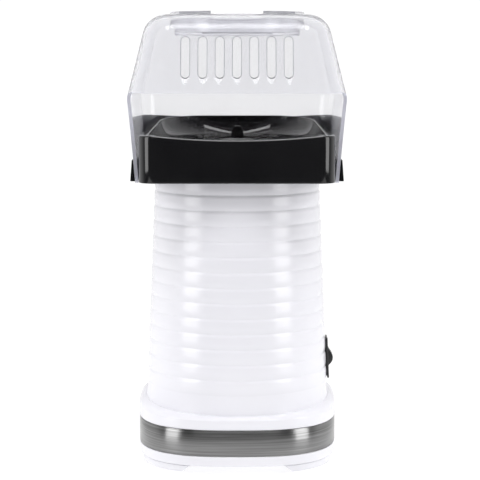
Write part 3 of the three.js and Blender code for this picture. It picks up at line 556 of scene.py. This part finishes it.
# ---------- chute tray ----------
def rect_ring(half, front, back, front_corner, back_corner=None, z=0.0, narrowing=0.0):
    """Rounded rectangle ring with even points on its sides, so that rings of one kind match up."""
    back_corner = front_corner if back_corner is None else back_corner
    quarters = [
        (half - front_corner, front + front_corner, front_corner, -90),
        (half - back_corner, back - back_corner, back_corner, 0),
        (-(half - back_corner), back - back_corner, back_corner, 90),
        (-(half - front_corner), front + front_corner, front_corner, 180),
    ]
    points = []
    for k, (x, y, radius, start) in enumerate(quarters):
        corner = arc(x, y, radius, start, start + 90, CORNER_STEPS)
        points += corner
        next_x, next_y, next_radius, next_start = quarters[(k + 1) % 4]
        turn = math.radians(next_start)
        last_x, last_y = corner[-1]
        end_x, end_y = next_x + next_radius * math.cos(turn), next_y + next_radius * math.sin(turn)
        points += [(lerp(last_x, end_x, i / SIDE_STEPS), lerp(last_y, end_y, i / SIDE_STEPS))
                   for i in range(1, SIDE_STEPS)]
    made = []
    for x, y in points:
        wide = x * (1 - narrowing * (y - front) / (back - front))
        made.append((wide, y, z(wide, y) if callable(z) else z))
    return made


def circle_like(ring, radius, z):
    """Circle whose points keep the directions of a rounded rectangle's points."""
    return [polar(radius, math.atan2(y, x), z) for x, y, _ in ring]


def rim_height(x, y):
    along = clamp01((y - BOWL_FRONT) / (BOWL_BACK - BOWL_FRONT))
    lip = clamp01((BOWL_FRONT + 12 - y) / 12)
    dip = RIM_DIP * lip * max(0.0, 1 - (x / BOWL_HALF) ** 2)
    return lerp(RIM_FRONT, RIM_BACK, along) - dip


def shelf_height(x, y):
    """Level shelf outside the rim; it dips with the front lip."""
    return min(rim_height(x, y), SHELF_HEIGHT)


def cheek_rise(x, y):
    """How far the wall outside the hood's skirt rises: it is raised round the back corners."""
    part = clamp01((y - CHEEK_RISE[0]) / (CHEEK_RISE[1] - CHEEK_RISE[0]))
    part *= part * (3 - 2 * part)
    return part * (CHEEK_RAISED - CHEEK_TOP - CHEEK_DROOP * (1 - abs(x) / CHEEK_INNER))


def tray_ring(inset, z):
    return rect_ring(TRAY_HALF - inset, TRAY_FRONT + inset, TRAY_BACK - inset,
                     TRAY_CORNER - min(inset, 6), z=z)


def bowl_ring(inset, drop, corner=0.0, back_inset=None):
    back_inset = inset if back_inset is None else back_inset
    return rect_ring(BOWL_HALF - inset, BOWL_FRONT + inset * 0.5, BOWL_BACK - back_inset,
                     BOWL_CORNER_FRONT + corner, min(BOWL_CORNER_BACK + 1.35 * corner, BOWL_HALF - inset),
                     lambda x, y: rim_height(x, y) - drop(x, y), BOWL_NARROWING)


def to_deck(part):
    return lambda x, y: part * (rim_height(x, y) - HOLE_EDGE - 1.2)


def fine_bowl():
    """Bowl wall from the squarish rim down to the deck: steep, and rounder towards its foot."""
    rings = []
    for i in range(BOWL_STEPS + 1):
        t = i / BOWL_STEPS
        rings.append(bowl_ring(lerp(-0.5, 9, t ** 1.7), to_deck(1 - (1 - t) ** 1.3), lerp(1, 14, t),
                               lerp(-0.5, 5, t ** 2.4)))
    return rings


def tray_rings():
    """Outside wall, rim, bowl, hole and, on the way back, the hollow underside."""
    plan = tray_ring(0, 0)
    under = 2
    collar, spigot = HOLE_RADIUS + 1.8, TOWER_RADIUS + 0.8
    rim_round = [(0, -1.4), (0.15, -0.7), (0.5, -0.2), (1.1, 0)]
    return [
        tray_ring(0.6, TRAY_LOW),
        tray_ring(0.15, TRAY_LOW + 0.15),
        tray_ring(0, TRAY_LOW + 0.6),
        *[tray_ring(inset, lambda x, y, d=drop: shelf_height(x, y) + d) for inset, drop in rim_round],
        bowl_ring(-1.6, lambda x, y: rim_height(x, y) - shelf_height(x, y), 1),
        bowl_ring(-1.35, lambda x, y: 0.3, 1),
        bowl_ring(-1.1, lambda x, y: 0.0, 1),
        bowl_ring(-0.8, lambda x, y: 0.05, 1),
        *fine_bowl(),
        circle_like(plan, HOLE_RADIUS + 2.4, HOLE_EDGE + 1.0),
        circle_like(plan, HOLE_RADIUS + 1.0, HOLE_EDGE + 0.7),
        circle_like(plan, HOLE_RADIUS + 0.25, HOLE_EDGE - 0.1),
        circle_like(plan, HOLE_RADIUS, HOLE_EDGE - 1.2),
        circle_like(plan, HOLE_RADIUS, HOLE_LOW),
        circle_like(plan, collar, HOLE_LOW),
        circle_like(plan, collar, HOLE_EDGE - under),
        bowl_ring(6, lambda x, y: to_deck(1)(x, y) + under, 16),
        bowl_ring(1.2, lambda x, y: to_deck(0.65)(x, y) + under, 8),
        tray_ring(TOWER_WALL, lambda x, y: shelf_height(x, y) - 2.4),
        tray_ring(TOWER_WALL, TRAY_FLOOR),
        circle_like(plan, spigot, TRAY_FLOOR),
        circle_like(plan, spigot, TRAY_LOW),
    ]


def cheek_ring(half, z):
    """Ring of the wall outside the hood's skirt, or of the tray's own wall when half is smaller."""
    back = half + CHEEK_BACK_SHIFT if half >= CHEEK_INNER else TRAY_BACK - 1
    return rect_ring(half, TRAY_FRONT, back, TRAY_CORNER, TRAY_CORNER + half - TRAY_HALF, z=z)


def raised_ring(half, drop, part=1.0):
    """Top ring of the cheek, raised by a part of the full rise and leaning out as it rises."""
    return [(x * (1 + CHEEK_SPREAD_X * rise), y * (1 + CHEEK_SPREAD_Y * rise), CHEEK_TOP + rise - drop)
            for x, y, rise in cheek_ring(half, lambda x, y: part * cheek_rise(x, y))]


def build_cheek():
    turn = 0.4
    cheek = skin("cheek", [
        cheek_ring(TRAY_HALF - 1, TRAY_LOW),
        cheek_ring(CHEEK_OUTER - 0.3, TRAY_LOW),
        cheek_ring(CHEEK_OUTER, TRAY_LOW + turn),
        raised_ring(CHEEK_TOP_OUTER, turn, 0),
        raised_ring(CHEEK_TOP_OUTER, turn),
        raised_ring(CHEEK_TOP_OUTER - turn, 0),
        raised_ring(CHEEK_INNER + turn, 0),
        raised_ring(CHEEK_INNER, turn),
        raised_ring(CHEEK_INNER, turn, 0),
        cheek_ring(CHEEK_INNER, TRAY_FLOOR),
        cheek_ring(TRAY_HALF - 1, TRAY_FLOOR),
    ])
    return cut(cheek, block("cheek_end", (-90, 90), (-90, CHEEK_START), (150, 250)))


def build_tray():
    body = skin("tray_shell", tray_rings())
    cheek = build_cheek()
    foot = HOLE_EDGE - 0.4
    outline = [(-ARCH_HALF, foot), (ARCH_HALF, foot), *arc(0, ARCH_TOP, ARCH_HALF, 0, 180, 20)]
    arch = prism("arch", outline, "y", ARCH_FRONT, ARCH_BACK)
    low = FLANGE_HIGH + 1
    bosses = [moved(rod("boss", TRAY_BOSS, low, foot, 32), *place) for place in tray_screw_places()]
    bores = [moved(rod("bore", THREAD_BORE, low - 1, 200), *place) for place in tray_screw_places()]
    join(body, cheek, bevel(arch, 0.7, 60), *bosses)
    finish_piece(cut(body, *bores), BLACK, "black_plastic", "root", "chute_tray")


# ---------- hood ----------
def hood_ring(z, inset=0.0, shoulder=0.0):
    skirt = clamp01((HOOD_WIDEST - z) / (HOOD_WIDEST - HOOD_BOTTOM))
    above = max(0.0, z - HOOD_WIDEST)
    half = lerp(HOOD_HALF, SKIRT_HALF, skirt ** 0.85) - SIDE_SLOPE * above
    back = lerp(HOOD_BACK, SKIRT_BACK, skirt) - BACK_SLOPE * above
    return rect_ring(half - inset - shoulder, HOOD_FRONT + FRONT_SLOPE * above + inset + 0.85 * shoulder,
                     back - inset - 0.75 * shoulder, HOOD_CORNER - inset,
                     lerp(HOOD_CORNER, TRAY_CORNER + 2.2, skirt) - inset, z)


def shoulder_rings(inset, steps=12):
    """Rounded shoulder, tangent to the sloping wall and level at the top."""
    radius, lean = HOOD_ROUND - inset, math.atan(SIDE_SLOPE)
    centre = HOOD_TOP - HOOD_ROUND
    start = centre + radius * math.sin(lean)
    rings = []
    for i in range(steps + 1):
        angle = lerp(lean, math.pi / 2, i / steps)
        z = centre + radius * math.sin(angle)
        shoulder = radius * (math.cos(lean) - math.cos(angle)) - SIDE_SLOPE * (z - start)
        rings.append(hood_ring(z, inset, shoulder))
    return rings


def mouth_outline():
    outline = [(-95, MOUTH_EDGE), (-95, 180), (MOUTH_LOW_Y, 180)]
    start, end = (MOUTH_TOP_Y, MOUTH_EDGE - MOUTH_ROUND), (MOUTH_TOP_Y - MOUTH_ROUND - 0.6, MOUTH_EDGE)
    control = (MOUTH_TOP_Y - 0.6, MOUTH_EDGE)
    for i in range(9):
        t = i / 8
        outline.append(tuple((1 - t) ** 2 * a + 2 * t * (1 - t) * c + t * t * b
                             for a, c, b in zip(start, control, end)))
    return outline


def slot_ring(number, grown, depth):
    """Outline of a vent slot, at a depth behind the hood's sloping front face."""
    x, radius = (number - (SLOT_COUNT - 1) / 2) * SLOT_PITCH, SLOT_WIDTH / 2
    low, high = SLOT_LOW + radius, SLOT_HIGH - radius
    outline = arc(x, high, radius + grown, 0, 180, 16) + arc(x, low, radius + grown, 180, 360, 16)
    return [(u, HOOD_FRONT + FRONT_SLOPE * (z - HOOD_WIDEST) + depth, z) for u, z in outline]


def build_slot_tool(number):
    """Cutter of one slot, flared at the outer face, whose faces carry painted shade onto the slot's edge,
    darkest at its foot.
    """
    slot = skin("slot", [
        slot_ring(number, SLOT_FLARE, -6),
        slot_ring(number, SLOT_FLARE, -0.1),
        slot_ring(number, 0, 0.6),
        slot_ring(number, 0, 9),
    ], loop=False)
    # Painted shade: the slot's cut faces get a grey edge.
    slot.data.materials.append(EDGE_PAINTED_SHADE)
    # Painted shade: the faces at the slot's foot get a near-black edge.
    paint(slot, FOOT_PAINTED_SHADE, lambda x, y, z: z < SLOT_LOW + SLOT_FOOT_SHADE_HEIGHT)
    return slot


def build_hood():
    levels = [HOOD_BOTTOM, HOOD_BOTTOM + 6, 205, 214, 222, 232, 238, HOOD_WIDEST - 1.2, HOOD_WIDEST + 1.2,
              248, 256, 264, 274]
    plan = hood_ring(HOOD_TOP - HOOD_ROUND)
    inner_hole = COLLAR_OUTER - COLLAR_WALL
    body = skin("hood_shell", [
        *[hood_ring(z) for z in levels],
        *shoulder_rings(0),
        circle_like(plan, inner_hole + 0.5, HOOD_TOP),
        circle_like(plan, inner_hole, HOOD_TOP - 0.5),
        circle_like(plan, inner_hole, LIP_HIGH),
        circle_like(plan, LIP_INNER, LIP_HIGH),
        circle_like(plan, LIP_INNER, LIP_LOW),
        circle_like(plan, COLLAR_OUTER, LIP_LOW),
        circle_like(plan, COLLAR_OUTER, HOOD_TOP - HOOD_WALL),
        *reversed(shoulder_rings(HOOD_WALL)),
        *[hood_ring(z, HOOD_WALL) for z in reversed(levels)],
    ])
    body.data.materials.append(CLEAR)
    mouth = prism("mouth", mouth_outline(), "x", -90, 90)
    # The mouth's cut faces take the painted glow and painted light grey.
    mouth.data.materials.append(MOUTH_PAINTED_LIGHT)
    channel = block("channel", (-90, 90), (TAB_END, 90), (HOOD_BOTTOM - 1, OVER_CHANNEL))
    slots = [build_slot_tool(number) for number in range(SLOT_COUNT)]
    finish_piece(cut(body, mouth, channel, *slots), CLEAR, "clear_plastic", "hood", "hood", sharp=45)


def build_cup():
    lip, turn = HOOD_TOP + GAP, 0.4
    inner_band, inner_body, floor = CUP_BAND - CUP_WALL, CUP_BODY - CUP_WALL, CUP_LOW + CUP_WALL
    body = turned("cup_shell", [
        (0, CUP_LOW), (CUP_BODY - 1.2, CUP_LOW), (CUP_BODY - 0.35, CUP_LOW + 0.35), (CUP_BODY, CUP_LOW + 1.2),
        (CUP_BODY, CUP_STEP), (CUP_BAND - 0.3, CUP_STEP), (CUP_BAND, CUP_STEP + 0.3), (CUP_BAND, lip),
        (GRIP_OUTER, lip), (GRIP_OUTER, GRIP_TOP - turn), (GRIP_OUTER - turn, GRIP_TOP),
        (inner_band + turn, GRIP_TOP), (inner_band, GRIP_TOP - turn), (inner_band, CUP_STEP + CUP_WALL),
        (inner_body, CUP_STEP + CUP_WALL), (inner_body, floor + 1), (inner_body - 1, floor), (0, floor),
    ], 180)
    ribs = []
    for i in range(CUP_RIBS):
        rib = block("cup_rib", (CUP_BAND - 0.6, CUP_BAND + 0.4), (-CUP_RIB_HALF, CUP_RIB_HALF),
                    (CUP_STEP + 0.2, HOOD_TOP - 0.6))
        ribs.append(turn_about(rib, 360 / CUP_RIBS * i + 90, "Z", (0, 0, 0)))
    join(body, *ribs)
    half = FINGER_GAP / 2
    cut(body, block("fingers", (-half, half), (-60, 60), (HOOD_TOP, GRIP_TOP + 1)))
    body.data.materials.clear()
    body.data.materials.append(CLEAR)

    # Painted shade on the outer faces of the grips, standing in for their dark wedges.
    def in_painted_grip_shade(x, y, z):
        return z > lip and abs(x) < GRIP_SHADE_REACH and math.hypot(x, y) > GRIP_OUTER - 0.3

    paint(body, EDGE_PAINTED_SHADE, in_painted_grip_shade)
    finish_piece(body, CLEAR, "clear_plastic", "cup", "measuring_cup", sharp=40)


# ---------- switch and gland ----------
def put_switch(obj):
    """Leans a piece with the tower's wall and moves it there: switch pieces are made with x from the wall."""
    turn_about(obj, -math.degrees(math.atan(TOWER_TAPER)), "Y", (0, 0, 0))
    return moved(obj, tower_radius(SWITCH_Z), 0, SWITCH_Z)


def build_switch():
    high, wide, wall, clearance = SWITCH_HEIGHT / 2, SWITCH_WIDTH / 2, 1.4, 0.5
    bezel = bevel(block("switch_housing", (GAP, SWITCH_PROUD), (-wide, wide), (-high, high)), 0.5)
    barrel = block("barrel", (-SWITCH_DEPTH, 1), (-wide + wall, wide - wall), (-high + wall, high - wall))
    side, end = wide - wall - clearance, ROCKER_HALF + clearance
    well = block("well", (-9, 5), (-side, side), (-end, end))
    body = put_switch(cut(join(bezel, barrel), well))
    finish_piece(body, SWITCH_BLACK, "black_plastic", "root", "switch_body")


def rocker_outline(level):
    """Side view of the key as (out, up): flat sides, and a face whose middle swells into a crown."""
    crown = level + ROCKER_CROWN
    hidden, edge, taper = -3.5, level - 1.7, 2.5
    swell = [(level - 0.4, 6.8), (level + 0.5, 4.6), (crown, 3.4), (crown, 0)]
    upper = []
    for i in range(11):
        t = i / 10
        weights = ((1 - t) ** 3, 3 * t * (1 - t) ** 2, 3 * t * t * (1 - t), t ** 3)
        upper.append(tuple(sum(k * point[axis] for k, point in zip(weights, swell)) for axis in (0, 1)))
    lower = [(out, -up) for out, up in upper]
    return [(hidden, -ROCKER_HALF + taper), (edge, -ROCKER_HALF), *lower, *reversed(upper[:-1]),
            (edge, ROCKER_HALF), (hidden, ROCKER_HALF - taper)]


def build_rocker():
    pivot = -1.5
    outline = [(out + pivot, up) for out, up in rocker_outline(SWITCH_PROUD - pivot)]
    half = ROCKER_WIDTH / 2
    rocker = bevel(prism("rocker_key", outline, "y", -half, half), 0.4, 40)
    turn_about(rocker, ROCKER_TILT, "Y", (pivot, 0, 0))
    finish_piece(put_switch(rocker), SWITCH_BLACK, "black_plastic", "rocker", "switch_rocker")


def build_gland():
    inside, face = -12, 3.2
    gland = turned("cord_bush", [
        (GLAND_BORE, inside), (GLAND_NECK, inside), (GLAND_NECK, GAP), (GLAND_COLLAR, GAP),
        (GLAND_COLLAR, 2.0), (GLAND_COLLAR - 0.4, 2.5), (GLAND_COLLAR - 1.3, face),
        (GLAND_BORE + 0.5, face), (GLAND_BORE, face - 0.5),
    ], 64)
    turn_about(gland, -90, "X", (0, 0, 0))
    moved(gland, 0, tower_radius(GLAND_Z - GLAND_COLLAR), GLAND_Z)
    finish_piece(gland, SWITCH_BLACK, "black_plastic", "root", "cord_gland")


# ---------- popping chamber and the CAD pieces that stay ----------
def build_chamber():
    """Spun pot with a domed floor and a ring of slanted louvres low in its wall."""
    low, high, flange = CHAMBER_LOW.z / MM, CHAMBER_HIGH.z / MM, CHAMBER_HIGH.x / MM
    outer, under_flange, floor = POT_INNER + POT_WALL, high - 1.2, low + POT_WALL
    pot = turned("popping_pot", [
        (0, low), (outer - 3, low), (outer - 0.9, low + 0.9), (outer, low + 3), (outer, under_flange),
        (flange, under_flange), (flange, high), (POT_INNER + 0.5, high), (POT_INNER, high - 0.5),
        (POT_INNER, low + 3.4), (POT_INNER - 0.8, low + 1.6), (POT_INNER - 2.6, floor),
        (12, floor), (10, floor + 0.6), (2, floor + 4.6), (0, floor + 5),
    ], 120)
    louvres = []
    for i in range(LOUVRES):
        slit = block("louvre", (POT_INNER - 3, POT_INNER + 4), (-LOUVRE_HALF, LOUVRE_HALF),
                     (low + 6, low + 20))
        turn_about(slit, LOUVRE_LEAN, "X", (0, 0, 0))
        louvres.append(turn_about(slit, 360 / LOUVRES * i, "Z", (0, 0, 0)))
    finish_piece(cut(pot, *louvres), ALUMINIUM, "aluminium", "root", "popping_chamber")


KEPT = {
    STEEL: ["case_screw_1", "case_screw_2", "case_screw_3", "case_screw_4", "tray_screw_1", "tray_screw_2",
            "tray_screw_3", "heater_shroud", "fan_shaft", "motor_can", "motor_plate", "motor_screw_1",
            "motor_screw_2"],
    BRASS: ["switch_terminal_1", "switch_terminal_2", "thermal_fuse", "motor_bush_1", "motor_bush_2"],
    WIRE: ["heating_coil", "motor_rotor"],
    MICA: ["heater_former"],
    SILICONE: ["chamber_gasket"],
    GREY: ["thermostat", "motor_end_bell", "motor_magnet_1", "motor_magnet_2", "fan_duct"],
    SWITCH_BLACK: ["fan_impeller"],
    BOARD: ["rectifier_board"],
    BRAID: ["lead_1", "lead_2"],
}


def dress_kept_nodes():
    for material, names in KEPT.items():
        for name in names:
            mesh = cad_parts[name].data
            mesh.materials.clear()
            mesh.materials.append(material)


# ---------- stage, light and camera ----------
CAMERA_DISTANCE = 1073
CAMERA_HEIGHT = 271.3
CAMERA_SIDE = 1.9
CAMERA_PITCH = 6.70
CAMERA_LENS = 120
SENSOR = 36
WORLD_FRONT, WORLD_BACK, WORLD_SEEN = 0.03, 0.9, 1.05
STRIP_AZIMUTH, STRIP_ELEVATION, STRIP_SIZE, STRIP_POWER = 62, 12, (0.5, 1.0), 6.8
TOP_ELEVATION, TOP_SIZE, TOP_POWER = 65, (0.9, 0.4), 8.4
LIGHT_REACH = 1.2
FLOOR_REACH, FLOOR_GLOW = 500, 0.65


def add_area(name, azimuth, elevation, size, power):
    """Softbox round the object: azimuth in degrees from the front, towards +X."""
    across, up = math.radians(azimuth), math.radians(elevation)
    aim = Vector((0, 0, 0.15))
    spot = aim + LIGHT_REACH * Vector((math.cos(up) * math.sin(across), -math.cos(up) * math.cos(across),
                                       math.sin(up)))
    data = bpy.data.lights.new(name, "AREA")
    data.shape = "RECTANGLE"
    data.size, data.size_y = size
    data.energy = power
    light = bpy.data.objects.new(name, data)
    bpy.context.scene.collection.objects.link(light)
    light.location = spot
    light.rotation_euler = (aim - spot).to_track_quat("-Z", "Y").to_euler()


def add_world():
    """White backdrop; what lights the object is bright behind it and dark in front."""
    world = bpy.data.worlds.new("studio")
    world.use_nodes = True
    tree = world.node_tree
    coordinates = tree.nodes.new("ShaderNodeTexCoord")
    separate = tree.nodes.new("ShaderNodeSeparateXYZ")
    level = tree.nodes.new("ShaderNodeMapRange")
    level.interpolation_type = "SMOOTHSTEP"
    level.inputs["From Min"].default_value = -0.35
    level.inputs["From Max"].default_value = 0.35
    level.inputs["To Min"].default_value = WORLD_FRONT
    level.inputs["To Max"].default_value = WORLD_BACK
    tree.links.new(coordinates.outputs["Generated"], separate.inputs["Vector"])
    tree.links.new(separate.outputs["Y"], level.inputs["Value"])
    seen = tree.nodes.new("ShaderNodeLightPath")
    choose = tree.nodes.new("ShaderNodeMapRange")
    choose.inputs["To Max"].default_value = WORLD_SEEN
    tree.links.new(seen.outputs["Is Camera Ray"], choose.inputs["Value"])
    tree.links.new(level.outputs["Result"], choose.inputs["To Min"])
    tree.links.new(choose.outputs["Result"], tree.nodes["Background"].inputs["Strength"])
    tree.nodes["Background"].inputs["Color"].default_value = (1, 1, 1, 1)
    bpy.context.scene.world = world


def add_lights():
    add_area("softbox_left", -STRIP_AZIMUTH, STRIP_ELEVATION, STRIP_SIZE, STRIP_POWER)
    add_area("softbox_right", STRIP_AZIMUTH, STRIP_ELEVATION, STRIP_SIZE, STRIP_POWER)
    add_area("softbox_top", 0, TOP_ELEVATION, TOP_SIZE, TOP_POWER)


def add_floor():
    """Pale floor with a glow of its own, so that it stays white under the object."""
    reach = FLOOR_REACH
    square = [(-reach, -reach), (reach, -reach), (reach, reach), (-reach, reach)]
    floor = skin("floor", [[(x, y, z) for x, y in square] for z in (0, -5)], loop=False)
    pale = moulded("pale_floor", (0.4, 0.4, 0.4), (0.42, 0.42, 0.42), (0.7, 0.8), 0.02, 6.0)
    shader = pale.node_tree.nodes["Principled BSDF"]
    shader.inputs["Emission Color"].default_value = (1, 1, 1, 1)
    shader.inputs["Emission Strength"].default_value = FLOOR_GLOW
    floor.data.materials.append(pale)


def add_camera():
    data = bpy.data.cameras.new("camera")
    data.lens, data.sensor_width = CAMERA_LENS, SENSOR
    camera = bpy.data.objects.new("camera", data)
    bpy.context.scene.collection.objects.link(camera)
    camera.location = (CAMERA_SIDE * MM, (AXIS_Y - CAMERA_DISTANCE) * MM, CAMERA_HEIGHT * MM)
    camera.rotation_euler = (math.radians(90 - CAMERA_PITCH), 0, 0)
    bpy.context.scene.camera = camera
    bpy.context.scene.view_settings.view_transform = "Standard"


build_tower()
build_band()
build_base()
build_tray()
build_hood()
build_cup()
build_switch()
build_rocker()
build_gland()
build_chamber()
dress_kept_nodes()
add_world()
add_lights()
add_floor()
add_camera()
